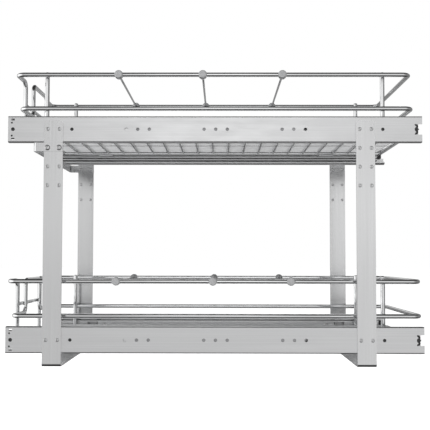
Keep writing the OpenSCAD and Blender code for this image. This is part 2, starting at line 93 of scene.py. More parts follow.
# The end of an open wire: how far in each step of its rounding lies, in diameters of the
# rail wire, and the share of its full thickness there.
WIRE_END = ((0, 0.62), (0.07, 0.9), (0.2, 1.0))

# A turn of the thread: where its crest and its root lie, in pitches. The shank's tip ends
# in a flat face, whose radius is a share of the thread's root.
CREST, ROOT = 0.4, 0.8
TIP_W = 0.55

# The pan head's outline as shares of its radius and height: a straight rim under a dome.
RIM = ((0.97, 0), (1, 0.1), (1, 0.3))
DOME_ANGLES = (20, 40, 60, 78)
DOME_W, DOME_H = 0.55, 0.7
CROWN = ((0.4, 0.99), (0, 1))

# The cross recess: height, as a share of the head's, and reach, of its radius.
RECESS_BOTTOM = (0.4, 0.3)
RECESS_TOP = (1.3, 0.62)

# The studio's grey levels by direction, as (coordinate of the direction, level): along the
# part, by height and across it. The soft box is a bright field beside the part, above the
# horizon.
STUDIO_ALONG = (
    (-1, 1), (-0.82, 0.95), (-0.62, 0.5), (-0.45, 0.42), (-0.25, 0.5), (-0.1, 0.48), (0, 0.48),
    (0.1, 0.56), (0.2, 0.58), (0.45, 0.55), (0.7, 0.33), (0.85, 0.2), (1, 0.18),
)
STUDIO_HEIGHT = (
    (-1, 0.04), (-0.75, 0.05), (-0.6, 0.25), (-0.45, 0.7), (-0.12, 0.82), (-0.02, 0.8),
    (0.03, 0.96), (0.07, 1), (0.11, 0.82), (0.2, 0.78), (0.4, 0.78), (0.55, 0.4), (0.68, 0.07),
    (1, 0.04),
)
STUDIO_DEPTH = ((-1, 0.38), (-0.8, 0.42), (-0.4, 0.8), (0, 0.95), (1, 1))
SOFT_BOX_ALONG = ((-1, 0), (-0.18, 0), (-0.05, 1), (0.02, 1), (0.14, 0), (1, 0))
SOFT_BOX_HEIGHT = ((-1, 0), (0.06, 0), (0.14, 1), (0.36, 1), (0.5, 0), (1, 0))
SENSOR_W = 36


# ---------- sizes and colours ----------


def size_prop(name, description, default):
    """A length that a user may change, in metres."""
    return bpy.props.FloatProperty(
        name=name, description=description, default=default, min=0, unit="LENGTH", precision=5
    )


def level_prop(name, description, default):
    """A strength of light or colour, where 1 is full white."""
    return bpy.props.FloatProperty(name=name, description=description, default=default, min=0)


def place_prop(name, description, default):
    """A point in space, in metres."""
    return bpy.props.FloatVectorProperty(
        name=name, description=description, default=default, unit="LENGTH"
    )


def angle_prop(name, description, degrees):
    """An angle, given in degrees."""
    return bpy.props.FloatProperty(
        name=name, description=description, default=math.radians(degrees), subtype="ANGLE"
    )


def count_prop(name, description, default):
    """A whole number of things."""
    return bpy.props.IntProperty(name=name, description=description, default=default, min=1)


def colour_prop(name, description, default):
    """A colour, as the shader reads it."""
    return bpy.props.FloatVectorProperty(
        name=name, description=description, default=default, min=0, max=1, subtype="COLOR"
    )


class BasketWireSizes(bpy.types.PropertyGroup):
    """Sizes of the baskets' welded wires."""

    rail_d: size_prop("Rail wire", "Diameter of the rails, posts and floor frame", 0.006)
    bar_d: size_prop("Front bar wire", "Diameter of the bar between the front legs", 0.005)
    floor_d: size_prop("Floor wire", "Diameter of the floor's cross wires", 0.003)
    support_d: size_prop("Support wire", "Diameter of the wire under the floor", 0.004)
    divider_d: size_prop("Divider wire", "Diameter of a divider's wire", 0.003)
    bend_r: size_prop("Bend radius", "Radius of a bend, at the middle of the wire", 0.010)
    floor_pitch: size_prop("Floor pitch", "Distance between the floor's cross wires", 0.0241)
    floor_first: size_prop("First floor wire", "From the frame's front wire to it", 0.016)
    floor_last: size_prop("Last floor wire", "Least distance from it to the rear wire", 0.012)
    floor_rise: size_prop("Floor rise", "Cross wires lie this far above the frame wire", 0.0005)
    floor_end: size_prop("Floor wire end", "Cross wires end this far inside the frame wire", 0.0022)
    grip_x: size_prop("Grip", "Half the width of the raised grip", 0.048)
    weld: size_prop("Weld", "How far welded wires sink into each other", 0.0003)
    bead_w: size_prop("Weld bead width", "Half the width of a weld bead", 0.0021)
    bead_t: size_prop("Weld bead thickness", "Half the thickness of a weld bead", 0.0011)
    sides: count_prop("Sides", "Faces round a wire", 28)
    bend_steps: count_prop("Bend steps", "Straight pieces in a bend", 12)
    seed: count_prop("Weld seed", "Seed of the weld beads' small differences", 7)


class SlideSizes(bpy.types.PropertyGroup):
    """Sizes of the slides and the sheet-metal pieces."""

    outer_ball_d: size_prop("Outer ball", "Diameter of the outer balls", 0.0035)
    inner_ball_d: size_prop("Inner ball", "Diameter of the inner balls", 0.0025)
    balls_per_row: count_prop("Balls in a row", "Balls in each row of a cage", 18)
    sheet_edge: size_prop("Sheet edge", "How far a cut sheet edge is eased", 0.00012)
    strip_edge: size_prop("Strip edge", "How far the strips' edges are eased", 0.0003)
    rubber_edge: size_prop("Rubber edge", "How far the bumpers' edges are rounded", 0.0005)
    liner_edge: size_prop("Liner edge", "How far the liner's edges are rounded", 0.0003)
    # The painted shade on the middle members behind the outer members' holes: its depth, and half
    # its length along the slide.
    hole_shade_t: size_prop("Hole shade", "Depth of the marks behind the outer members' holes", 0.0008)
    hole_shade_r: size_prop("Grease length", "Half the length of a mark, along the slide", 0.0035)
    front_hole: size_prop("Front hole", "From the slide's middle to its lone hole in front", 0.190)
    rear_hole: size_prop("Rear hole", "From the slide's middle to its lone rear hole", 0.2228)
    end_hole: size_prop("End hole", "From the slide's middle to its front end's hole", 0.2685)


class ScrewSizes(bpy.types.PropertyGroup):
    """Sizes of the cross-recessed screws."""

    shank_d: size_prop("Shank", "Diameter over the thread", 0.004)
    thread_pitch: size_prop("Thread pitch", "Distance between two turns of the thread", 0.0007)
    thread_depth: size_prop("Thread depth", "Depth of the thread", 0.0003)
    tie_head_d: size_prop("Tie screw head", "Diameter of a tie screw's head", 0.0074)
    tie_head_h: size_prop("Tie screw height", "Height of a tie screw's head", 0.0022)
    slide_head_d: size_prop("Slide screw head", "Diameter of a slide screw's head", 0.005)
    slide_head_h: size_prop("Slide screw height", "Height of a slide screw's head", 0.0007)
    tab_head_d: size_prop("Tab screw head", "Diameter of a tab screw's head", 0.0070)
    tab_head_h: size_prop("Tab screw height", "Height of a tab screw's head", 0.0022)
    tip: size_prop("Tip", "Length of the shank's tapered tip", 0.0004)
    plain: size_prop("Plain shank", "Length without thread at the tip and under the head", 0.0002)
    recess_w: size_prop("Recess", "Half the width of a recess's arm at the top", 0.00062)
    recess_low_w: size_prop("Recess bottom", "Half the width of an arm at the bottom", 0.0003)
    seed: count_prop("Turn seed", "Seed of how far each screw is turned", 3)


class ClipSizes(bpy.types.PropertyGroup):
    """Sizes of the divider clips."""

    edge: size_prop("Clip edge", "How far the clips' edges are rounded", 0.0006)


class FinishColours(bpy.types.PropertyGroup):
    """Base colours of the finishes."""

    chrome: colour_prop("Chrome wire", "Polished chrome plating", (0.84, 0.845, 0.85))
    strip: colour_prop("Plated strip", "Bright plated steel strip", (0.72, 0.722, 0.727))
    zinc: colour_prop("Zinc sheet", "Satin zinc-plated sheet steel", (0.72, 0.723, 0.728))
    screw: colour_prop("Screws", "Plain zinc-plated screws", (0.66, 0.662, 0.666))
    cage: colour_prop("Ball cages", "Dull pressed steel", (0.40, 0.40, 0.41))
    ball: colour_prop("Balls", "Polished bearing balls", (0.82, 0.82, 0.83))
    clip: colour_prop("Clips", "Moulded grey plastic", (0.33, 0.333, 0.338))
    liner: colour_prop("Liner", "Light grey plastic sheet", (0.74, 0.744, 0.75))
    rubber: colour_prop("Rubber", "Black moulded rubber", (0.022, 0.022, 0.023))
    # Share of the zinc's colour that the painted shade behind the outer members' holes leaves.
    hole_shade: level_prop("Hole shade", "How light the marks are beside the zinc round them", 0.1)


class StageSettings(bpy.types.PropertyGroup):
    """Camera, floor and light."""

    camera_at: place_prop("Camera place", "Where it stands", (1.27785, 0.00783, 0.14047))
    yaw: angle_prop("Yaw", "Turn of the camera from -X towards -Y", 0.3745)
    pitch: angle_prop("Pitch", "How far the camera looks up", 2.939)
    roll: angle_prop("Roll", "Tilt of the picture", 0.076)
    lens: bpy.props.FloatProperty(
        name="Lens", description="Focal length", default=72.33, min=1, unit="CAMERA"
    )
    floor_w: size_prop("Floor", "Width of the floor", 24)
    floor_colour: colour_prop("Floor colour", "Colour of the floor", (0.8, 0.8, 0.8))
    floor_drop: size_prop("Floor drop", "How far the floor lies below the part", 0.0002)
    floor_glow: level_prop("Floor glow", "Light that the floor itself shows the camera", 0.86)
    floor_fill: level_prop("Floor fill", "Light that the floor throws at matt surfaces", 1.2)
    studio_level: level_prop("Studio", "Brightest level of the studio round the part", 1.725)
    soft_box_level: level_prop("Soft box", "What the soft box adds to the studio", 1.2)
    lamp_power: bpy.props.FloatProperty(
        name="Lamp", description="Power of the soft lamp", default=24, min=0, unit="POWER"
    )
    lamp_w: size_prop("Lamp size", "Diameter of the soft lamp", 1.6)
    lamp_at: place_prop("Lamp place", "Where the soft lamp hangs", (1.0, -0.9, 1.8))
    lamp_aim: place_prop("Lamp aim", "What the soft lamp points at", (0, 0, 0.2))


def basket():
    return bpy.context.scene.basket_wires


def slides():
    return bpy.context.scene.basket_slides


def screws():
    return bpy.context.scene.basket_screws


def clips():
    return bpy.context.scene.basket_clips


def colours():
    return bpy.context.scene.basket_colours


def stage():
    return bpy.context.scene.basket_stage


# ---------- nodes ----------


def add_node(tree, kind, inputs, **settings):
    """Adds a node; an input is given as a value or as the output that feeds it."""
    node = tree.nodes.new(kind)
    for key, value in settings.items():
        setattr(node, key, value)
    for key, value in inputs.items():
        feed(tree, node.inputs[key], value)
    return node.outputs


def feed(tree, socket, value):
    """Gives an input its value, or links the output that feeds it."""
    if isinstance(value, bpy.types.NodeSocket):
        tree.links.new(value, socket)
    else:
        socket.default_value = value


def product(tree, *factors):
    """Multiplies numbers and outputs, the first of which is an output."""
    result = factors[0]
    for factor in factors[1:]:
        result = add_node(tree, "ShaderNodeMath", {0: result, 1: factor}, operation="MULTIPLY")[0]
    return result


# ---------- finishes ----------


class Finish:
    """One material under construction: its node tree and its shader."""

    def __init__(self, name, metallic, roughness):
        self.material = bpy.data.materials.new(name)
        self.material.use_nodes = True
        self.tree = self.material.node_tree
        self.shader = self.tree.nodes["Principled BSDF"]
        self.shader.inputs["Metallic"].default_value = metallic
        self.shader.inputs["Roughness"].default_value = roughness
        self.place = self.tree.nodes.new("ShaderNodeTexCoord").outputs["Object"]

    def add(self, kind, inputs, **settings):
        return add_node(self.tree, kind, inputs, **settings)

    def noise(self, scale, stretch=(1, 1, 1), detail=3, rough=0.5):
        """Noise on the object's own coordinates, drawn out where stretch is small."""
        place = self.add("ShaderNodeMapping", {"Vector": self.place, "Scale": stretch})["Vector"]
        return self.add("ShaderNodeTexNoise", {
            "Vector": place, "Scale": scale, "Detail": detail, "Roughness": rough,
        })["Fac"]

    def spread(self, value, low, high, start=0.3, end=0.7):
        """Maps a noise to the range from low to high."""
        return self.add("ShaderNodeMapRange", {
            "Value": value, "From Min": start, "From Max": end, "To Min": low, "To Max": high,
        })["Result"]

    def mix(self, factor, first, second, blend="MIX"):
        """Colours the surface with a mix of two colours."""
        node = self.tree.nodes.new("ShaderNodeMix")
        node.data_type, node.blend_type = "RGBA", blend
        feed(self.tree, node.inputs["Factor"], factor)
        for socket, colour in zip([s for s in node.inputs if s.type == "RGBA"], (first, second)):
            feed(self.tree, socket, colour)
        result = next(s for s in node.outputs if s.type == "RGBA")
        self.tree.links.new(result, self.shader.inputs["Base Color"])

    def tint(self, value, colour, dark, light=1.0):
        """Colours the surface from dark to light shares of its colour."""
        self.mix(value, *[(*[min(1, c * share) for c in colour], 1) for share in (dark, light)])

    def darken(self, where, share):
        """Takes the surface's colour down to a share of itself where a mask is 1."""
        now = self.shader.inputs["Base Color"].links[0].from_socket
        self.mix(where, now, (share, share, share, 1), "MULTIPLY")

    def math(self, operation, *values):
        return self.add("ShaderNodeMath", dict(enumerate(values)), operation=operation)[0]

    def band(self, axis, middle, half):
        """Mask of a band along one axis, and of its mirror image beyond zero."""
        spot = self.add("ShaderNodeSeparateXYZ", {0: self.place})[axis]
        return self.math("COMPARE", self.math("ABSOLUTE", spot), middle, half)

    def rough(self, value):
        """Drives the roughness."""
        self.tree.links.new(value, self.shader.inputs["Roughness"])

    def bump(self, value, height):
        """Raises the surface by up to a height, in metres."""
        normal = self.add("ShaderNodeBump", {"Strength": 1.0, "Distance": height, "Height": value})
        self.tree.links.new(normal[0], self.shader.inputs["Normal"])


def chrome_wire():
    """Polished chrome over drawn wire: clear, with faint clouding."""
    f = Finish("chrome_wire", 1, 0.09)
    f.tint(f.spread(f.noise(22), 0, 1), colours().chrome, 0.93, 1.0)
    f.rough(f.spread(f.noise(260, detail=4), 0.05, 0.1))
    f.bump(f.noise(260, detail=1), 0.000002)
    return f.material


def plated_strip():
    """Bright plated strip with the mill's lines along its length."""
    f = Finish("plated_strip", 1, 0.16)
    lines = f.noise(1, (5, 900, 5), detail=5, rough=0.65)
    f.tint(f.spread(lines, 0, 1), colours().strip, 0.95, 1.03)
    f.rough(f.spread(f.noise(1, (9, 420, 9), detail=4), 0.14, 0.2))
    f.bump(lines, 0.000003)
    return f.material


def zinc_steel():
    """Satin zinc plating over rolled sheet, with lines along the slides, and painted shade on the
    middle members behind the outer members' holes.
    """
    f = Finish("zinc_steel", 1, 0.3)
    lines = f.noise(1, (800, 5, 800), detail=4, rough=0.6)
    f.tint(f.spread(lines, 0, 1), colours().zinc, 0.95, 1.03)
    f.rough(f.spread(f.noise(120, (1, 0.2, 1), detail=3), 0.29, 0.35))
    f.bump(lines, 0.0000025)
    # Painted shade: the zinc is darkened behind the outer members' holes so that the holes look
    # dark.
    f.darken(hole_shade_mask(f), colours().hole_shade)
    return f.material


def hole_shade_mask(f):
    """Mask of the painted shade on the middle members' outer faces, behind the outer members'
    holes, that makes those holes look dark.
    """
    p = slides()
    boxes = [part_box(f"{tier}_right_middle_member") for tier in TIERS]
    webs = [f.band("Z", (low.z + high.z) / 2, (high.z - low.z) / 2) for low, high in boxes]
    marks = [f.band("Y", y, p.hole_shade_r) for y in (p.front_hole, p.rear_hole, p.end_hole)]
    skin = f.band("X", boxes[-1][1].x - p.hole_shade_t / 2, p.hole_shade_t)
    either = partial(f.math, "MAXIMUM")
    return product(f.tree, skin, reduce(either, webs), reduce(either, marks))


def screw_steel():
    """Plain plated screw steel, a little worn."""
    f = Finish("screw_steel", 1, 0.3)
    f.tint(f.spread(f.noise(900, detail=3), 0, 1), colours().screw, 0.85, 1.05)
    f.rough(f.spread(f.noise(1500), 0.14, 0.26))
    return f.material


def cage_steel():
    """Dull pressed steel under a greasy film."""
    f = Finish("cage_steel", 1, 0.42)
    f.tint(f.spread(f.noise(160, detail=4), 0, 1), colours().cage, 0.8, 1.1)
    f.rough(f.spread(f.noise(90), 0.34, 0.52))
    return f.material


def ball_steel():
    """Polished bearing balls, faintly greasy."""
    f = Finish("ball_steel", 1, 0.08)
    f.tint(f.spread(f.noise(500), 0, 1), colours().ball, 0.94, 1.0)
    f.rough(f.spread(f.noise(700), 0.05, 0.14))
    return f.material


def grey_plastic():
    """Moulded grey plastic with a fine spark-eroded grain."""
    f = Finish("grey_plastic", 0, 0.45)
    grain = f.noise(2600, detail=2)
    f.tint(f.spread(f.noise(240), 0, 1), colours().clip, 0.92, 1.06)
    f.rough(f.spread(grain, 0.38, 0.55))
    f.bump(grain, 0.00002)
    return f.material


def liner_plastic():
    """Light grey plastic sheet with a satin grain."""
    f = Finish("liner_plastic", 0, 0.5)
    grain = f.noise(1300, detail=3)
    f.tint(f.spread(f.noise(30, detail=4), 0, 1), colours().liner, 0.96, 1.03)
    f.rough(f.spread(grain, 0.42, 0.6))
    f.bump(grain, 0.00004)
    return f.material


def black_rubber():
    """Black moulded rubber, slightly dusty."""
    f = Finish("black_rubber", 0, 0.6)
    f.tint(f.spread(f.noise(300, detail=4), 0, 1), colours().rubber, 0.8, 1.6)
    f.rough(f.spread(f.noise(900), 0.5, 0.75))
    f.bump(f.noise(1500), 0.00003)
    return f.material


FINISHES = {
    "chrome_wire": chrome_wire,
    "plated_strip": plated_strip,
    "zinc_steel": zinc_steel,
    "screw_steel": screw_steel,
    "cage_steel": cage_steel,
    "ball_steel": ball_steel,
    "grey_plastic": grey_plastic,
    "liner_plastic": liner_plastic,
    "black_rubber": black_rubber,
}
MADE = {}


def finish(name):
    """The material of a finish, made once, in place of the plain one that the mesh came with."""
    if name not in MADE:
        plain = bpy.data.materials.get(name)
        if plain:
            plain.name = name + "_plain"
        MADE[name] = FINISHES[name]()
    return MADE[name]


# ---------- meshes ----------


def new_object(name, mesh):
    """An object in the scene for a mesh."""
    made = bpy.data.objects.new(name, mesh)
    bpy.context.scene.collection.objects.link(made)
    return made


def built(name, bm):
    """Ends a mesh under construction and puts it in the scene."""
    mesh = bpy.data.meshes.new(name)
    bm.to_mesh(mesh)
    bm.free()
    return new_object(name, mesh)


def settle(piece, body, slot, node):
    """Gives a finished piece its body and its slot, and hides the node that it stands for."""
    if not piece.data.materials:
        piece.data.materials.append(finish(slot))
    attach(piece, body)
    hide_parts(node)


def eased_copy(node, ease, steps):
    """A merged copy of a node's mesh, its sharp edges eased."""
    source = frame["nodes"][node].data
    mesh = bpy.data.meshes.new(node + "_eased")
    mesh.from_pydata([v.co for v in source.vertices], [], [p.vertices[:] for p in source.polygons])
    bm = bmesh.new()
    bm.from_mesh(mesh)
    bmesh.ops.remove_doubles(bm, verts=bm.verts, dist=MERGE)
    bmesh.ops.dissolve_limit(bm, angle_limit=FLAT, verts=bm.verts, edges=bm.edges)
    sharp = [e for e in bm.edges if len(e.link_faces) == 2 and e.calc_face_angle(0) > SHARP]
    bmesh.ops.bevel(
        bm, geom=sharp, offset=ease, offset_type="OFFSET", segments=steps, profile=0.5,
        affect="EDGES", clamp_overlap=True,
    )
    for face in bm.faces:
        face.smooth = True
    bm.to_mesh(mesh)
    bm.free()
    mesh.set_sharp_from_angle(angle=SHARP)
    piece = new_object(node + "_piece", mesh)
    flat = piece.modifiers.new("Flat faces", "WEIGHTED_NORMAL")
    flat.mode, flat.weight, flat.keep_sharp = "FACE_AREA", 100, True
    return applied(piece)


def applied(piece):
    """Makes what a piece's modifiers give its own mesh."""
    depsgraph = bpy.context.evaluated_depsgraph_get()
    mesh = bpy.data.meshes.new_from_object(piece.evaluated_get(depsgraph), depsgraph=depsgraph)
    piece.modifiers.clear()
    piece.data = mesh
    return piece


def lathe(bm, profile, turns):
    """Adds a closed solid turned about Z from (radius, height) points, both ends on the axis."""
    angles = [2 * math.pi * i / turns for i in range(turns)]
    rings = []
    for radius, height in profile:
        spots = [(radius * math.cos(a), radius * math.sin(a), height) for a in angles]
        rings.append([bm.verts.new(spot) for spot in (spots if radius else spots[:1])])
    for low, high in zip(rings, rings[1:]):
        for i in range(turns):
            j = (i + 1) % turns
            sides = [low[i % len(low)], low[j % len(low)], high[j % len(high)], high[i % len(high)]]
            bm.faces.new(list(dict.fromkeys(sides)))


# ---------- node trees ----------


class Tree:
    """A geometry node tree under construction, with named inputs."""

    def __init__(self, name, inputs):
        self.tree = bpy.data.node_groups.new(name, "GeometryNodeTree")
        sockets = self.tree.interface
        sockets.new_socket(name="Geometry", in_out="INPUT", socket_type="NodeSocketGeometry")
        for label, kind in inputs.items():
            sockets.new_socket(name=label, in_out="INPUT", socket_type="NodeSocket" + kind)
        sockets.new_socket(name="Geometry", in_out="OUTPUT", socket_type="NodeSocketGeometry")
        self.start = self.tree.nodes.new("NodeGroupInput").outputs
        self.end = self.tree.nodes.new("NodeGroupOutput").inputs

    def add(self, kind, inputs, **settings):
        return add_node(self.tree, kind, inputs, **settings)

    def attribute(self, name, kind):
        """Reads a named attribute of the input geometry."""
        return self.add(
            "GeometryNodeInputNamedAttribute", {"Name": name}, data_type=kind
        )["Attribute"]

    def facing(self):
        """The turn that lays Z along each point's own direction."""
        way = self.attribute("across", "FLOAT_VECTOR")
        return self.add("FunctionNodeAlignRotationToVector", {"Vector": way}, axis="Z")["Rotation"]

    def copies(self, shape, **lay):
        """Sets a copy of a shape on every point of the input geometry."""
        points = {"Points": self.start["Geometry"], "Instance": shape}
        return self.add("GeometryNodeInstanceOnPoints", {**points, **lay})["Instances"]

    def chance(self, low, high):
        """A number from low to high for each point, by chance with the tree's own seed."""
        limits = {2: low, 3: high, "Seed": self.start["Seed"]}
        return self.add("FunctionNodeRandomValue", limits, data_type="FLOAT")[1]

    def half(self, diameter):
        return product(self.tree, diameter, 0.5)

    def section(self, diameter, sides):
        """The round section of a wire."""
        size = {"Resolution": sides, "Radius": self.half(diameter)}
        return self.add("GeometryNodeCurvePrimitiveCircle", size)["Curve"]

    def sweep(self, path, diameter, sides, scale=None):
        """Runs a round section along the path's curves, scaled at each point if given."""
        path = self.add("GeometryNodeMeshToCurve", {"Mesh": path})["Curve"]
        if scale is not None:
            path = self.add("GeometryNodeSetCurveRadius", {"Curve": path, "Radius": scale})["Curve"]
        wire = self.add("GeometryNodeCurveToMesh", {
            "Curve": path, "Profile Curve": self.section(diameter, sides), "Fill Caps": True,
        })["Mesh"]
        if scale is not None and "Scale" in wire.node.inputs:
            self.tree.links.new(scale, wire.node.inputs["Scale"])
        return wire

    def close(self, geometry):
        """Ends the tree: real, smooth mesh with its material."""
        real = self.add("GeometryNodeRealizeInstances", {"Geometry": geometry})["Geometry"]
        smooth = self.add("GeometryNodeSetShadeSmooth", {"Geometry": real})["Geometry"]
        done = self.add(
            "GeometryNodeSetMaterial", {"Geometry": smooth, "Material": self.start["Material"]}
        )["Geometry"]
        self.tree.links.new(done, self.end["Geometry"])
        return self.tree


def swept_wire_tree():
    """Tree that turns paths into wires."""
    t = Tree("Swept wire", {"Wire diameter": "Float", "Sides": "Int", "Material": "Material"})
    girth = t.attribute("girth", "FLOAT")
    return t.close(t.sweep(t.start["Geometry"], t.start["Wire diameter"], t.start["Sides"], girth))


def basket_floor_tree():
    """Tree that lays a row of cross wires over the support wires it is given."""
    t = Tree("Basket floor", {
        "Wires": "Int", "Pitch": "Float", "First wire": "Vector", "Half length": "Float",
        "Wire diameter": "Float", "Support diameter": "Float", "Sides": "Int",
        "Material": "Material",
    })
    half = t.start["Half length"]
    start = t.add("ShaderNodeCombineXYZ", {"X": product(t.tree, half, -1.0)})["Vector"]
    end = t.add("ShaderNodeCombineXYZ", {"X": half})["Vector"]
    step = t.add("ShaderNodeCombineXYZ", {"Y": t.start["Pitch"]})["Vector"]
    line = t.add("GeometryNodeCurvePrimitiveLine", {"Start": start, "End": end})["Curve"]
    ring = t.section(t.start["Wire diameter"], t.start["Sides"])
    wire = t.add(
        "GeometryNodeCurveToMesh", {"Curve": line, "Profile Curve": ring, "Fill Caps": True}
    )["Mesh"]
    row = t.add("GeometryNodeMeshLine", {
        "Count": t.start["Wires"], "Start Location": t.start["First wire"], "Offset": step,
    })["Mesh"]
    wires = t.add("GeometryNodeInstanceOnPoints", {"Points": row, "Instance": wire})["Instances"]
    support = t.sweep(t.start["Geometry"], t.start["Support diameter"], t.start["Sides"])
    both = t.tree.nodes.new("GeometryNodeJoinGeometry")
    for part in (wires, support):
        t.tree.links.new(part, both.inputs["Geometry"])
    return t.close(both.outputs["Geometry"])


def ball_row_tree():
    """Tree that sets a ball on every point."""
    t = Tree("Bearing balls", {"Ball diameter": "Float", "Material": "Material"})
    ball = t.add("GeometryNodeMeshUVSphere", {
        "Segments": 12, "Rings": 8, "Radius": t.half(t.start["Ball diameter"]),
    })["Mesh"]
    return t.close(t.copies(ball))


def weld_bead_tree():
    """Tree that puts a flattened bead on every weld, each a little different."""
    t = Tree("Weld beads", {
        "Half width": "Float", "Half thickness": "Float", "Seed": "Int", "Material": "Material",
    })
    ball = t.add("GeometryNodeMeshUVSphere", {"Segments": 14, "Rings": 8, "Radius": 1.0})["Mesh"]
    wide, thick = t.start["Half width"], t.start["Half thickness"]
    size = t.add("ShaderNodeCombineXYZ", {"X": wide, "Y": wide, "Z": thick})["Vector"]
    scale = t.add(
        "ShaderNodeVectorMath", {0: size, "Scale": t.chance(*BEAD_SPREAD)}, operation="SCALE"
    )["Vector"]
    return t.close(t.copies(ball, Rotation=t.facing(), Scale=scale))


def screw_tree():
    """Tree that drives a screw in at every point, turned by chance about its axis."""
    t = Tree("Screws", {"Screw": "Object", "Seed": "Int", "Material": "Material"})
    screw = t.add("GeometryNodeObjectInfo", {"Object": t.start["Screw"]})["Geometry"]
    angle = t.chance(0, math.pi)
    spin = t.add("FunctionNodeAxisAngleToRotation", {"Axis": (0, 0, 1), "Angle": angle})["Rotation"]
    turn = t.add(
        "FunctionNodeRotateRotation", {"Rotation": t.facing(), "Rotate By": spin},
        rotation_space="LOCAL",
    )["Rotation"]
    return t.close(t.copies(screw, Rotation=turn))


TREES = {
    "Swept wire": swept_wire_tree,
    "Basket floor": basket_floor_tree,
    "Bearing balls": ball_row_tree,
    "Weld beads": weld_bead_tree,
    "Screws": screw_tree,
}


def grown(name, mesh, tree_name, values):
    """Runs a tree on a mesh and returns the result as a plain mesh object."""
    tree = bpy.data.node_groups.get(tree_name) or TREES[tree_name]()
    seed = bpy.data.objects.new(name + "_seed", mesh)
    modifier = seed.modifiers.new(tree_name, "NODES")
    modifier.node_group = tree
    for item in tree.interface.items_tree:
        if item.in_out == "INPUT" and item.name in values:
            modifier[item.identifier] = values[item.name]
    bpy.context.scene.collection.objects.link(seed)
    depsgraph = bpy.context.evaluated_depsgraph_get()
    result = bpy.data.meshes.new_from_object(seed.evaluated_get(depsgraph), depsgraph=depsgraph)
    result.name = name
    seed.modifiers.remove(modifier)
    bpy.data.objects.remove(seed)
    if not result.polygons:
        raise RuntimeError(f"{tree_name} made nothing for {name}")
    result.set_sharp_from_angle(angle=SHARP)
    return new_object(name, result)


def paths_mesh(paths):
    """Loose edges along paths of (points, closed), with how thick the wire is at each point."""
    points, edges, girths = [], [], []
    for line, closed in paths:
        first, last = len(points), len(points) + len(line) - 1
        girth = [1.0] * len(line)
        if not closed:
            for i, (_, share) in enumerate(WIRE_END):
                girth[i] = girth[-1 - i] = share
        points += line
        girths += girth
        edges += [(i, i + 1) for i in range(first, last)]
        if closed:
            edges.append((last, first))
    mesh = bpy.data.meshes.new("paths")
    mesh.from_pydata(points, edges, [])
    mesh.attributes.new("girth", "FLOAT", "POINT").data.foreach_set("value", girths)
    return mesh


def points_mesh(places, across=None):
    """Loose points, with a direction for each if given."""
    mesh = bpy.data.meshes.new("points")
    mesh.from_pydata(places, [], [])
    if across:
        values = [c for direction in across for c in direction]
        mesh.attributes.new("across", "FLOAT_VECTOR", "POINT").data.foreach_set("vector", values)
    return mesh


def bent_path(corners, closed=False):
    """Path of a wire bent round right-angled corners, its open ends eased."""
    corners = [Vector(c) for c in corners]
    n, radius, steps = len(corners), basket().bend_r, basket().bend_steps
    line = []
    for i, corner in enumerate(corners):
        if not closed and i in (0, n - 1):
            line.append(corner)
            continue
        way_in = (corner - corners[i - 1]).normalized()
        way_out = (corners[(i + 1) % n] - corner).normalized()
        middle = corner + (way_out - way_in) * radius
        for k in range(steps + 1):
            a = math.pi / 2 * k / steps
            line.append(middle - way_out * radius * math.cos(a) + way_in * radius * math.sin(a))
    return (line if closed else eased_ends(line)), closed


def eased_ends(line):
    """Adds the points between which an open wire's ends are rounded off."""
    d = basket().rail_d
    ends = []
    for end, inner in ((line[0], line[1]), (line[-1], line[-2])):
        way = (inner - end).normalized()
        ends.append([end + way * reach * d for reach, _ in WIRE_END])
    return ends[0] + line[1:-1] + ends[1][::-1]


def straight_path(start, end):
    """Path of a straight wire with eased ends."""
    return eased_ends([Vector(start), Vector(end)]), False


def eased_piece(node, body, slot, ease, steps=2):
    """Stands a node's own shape, its sharp edges eased, for the node."""
    settle(eased_copy(node, ease, steps), body, slot, node)


def wire_piece(node, body, diameter, paths):
    """Sweeps a wire along paths and stands it for its node."""
    piece = grown(node + "_piece", paths_mesh(paths), "Swept wire", {
        "Wire diameter": diameter, "Sides": basket().sides, "Material": finish("chrome_wire"),
    })
    settle(piece, body, "chrome_wire", node)


# ---------- operators ----------


class PieceOperator:
    """What the operators of this file share."""

    bl_options = {"REGISTER", "UNDO"}

    def execute(self, context):
        self.make()
        return {"FINISHED"}


class BASKET_OT_frame_strips(PieceOperator, bpy.types.Operator):
    """Make the two U-bent frame strips and the cross tie between their uprights"""

    bl_idname = "basket.frame_strips"
    bl_label = "Frame strips and cross tie"

    def make(self):
        for node in ("front_frame_strip", "rear_frame_strip", "cross_tie"):
            eased_piece(node, "frame", "plated_strip", slides().strip_edge)


class BASKET_OT_slide_members(PieceOperator, bpy.types.Operator):
    """Make the outer, middle and inner members of the four slides"""

    bl_idname = "basket.slide_members"
    bl_label = "Slide members"

    def make(self):
        for tier in TIERS:
            homes = {
                "outer": "frame", "middle": f"{tier}_middle_members", "inner": f"{tier}_basket"
            }
            for side in SIDES:
                for member, body in homes.items():
                    node = f"{tier}_{side}_{member}_member"
                    eased_piece(node, body, "zinc_steel", slides().sheet_edge)


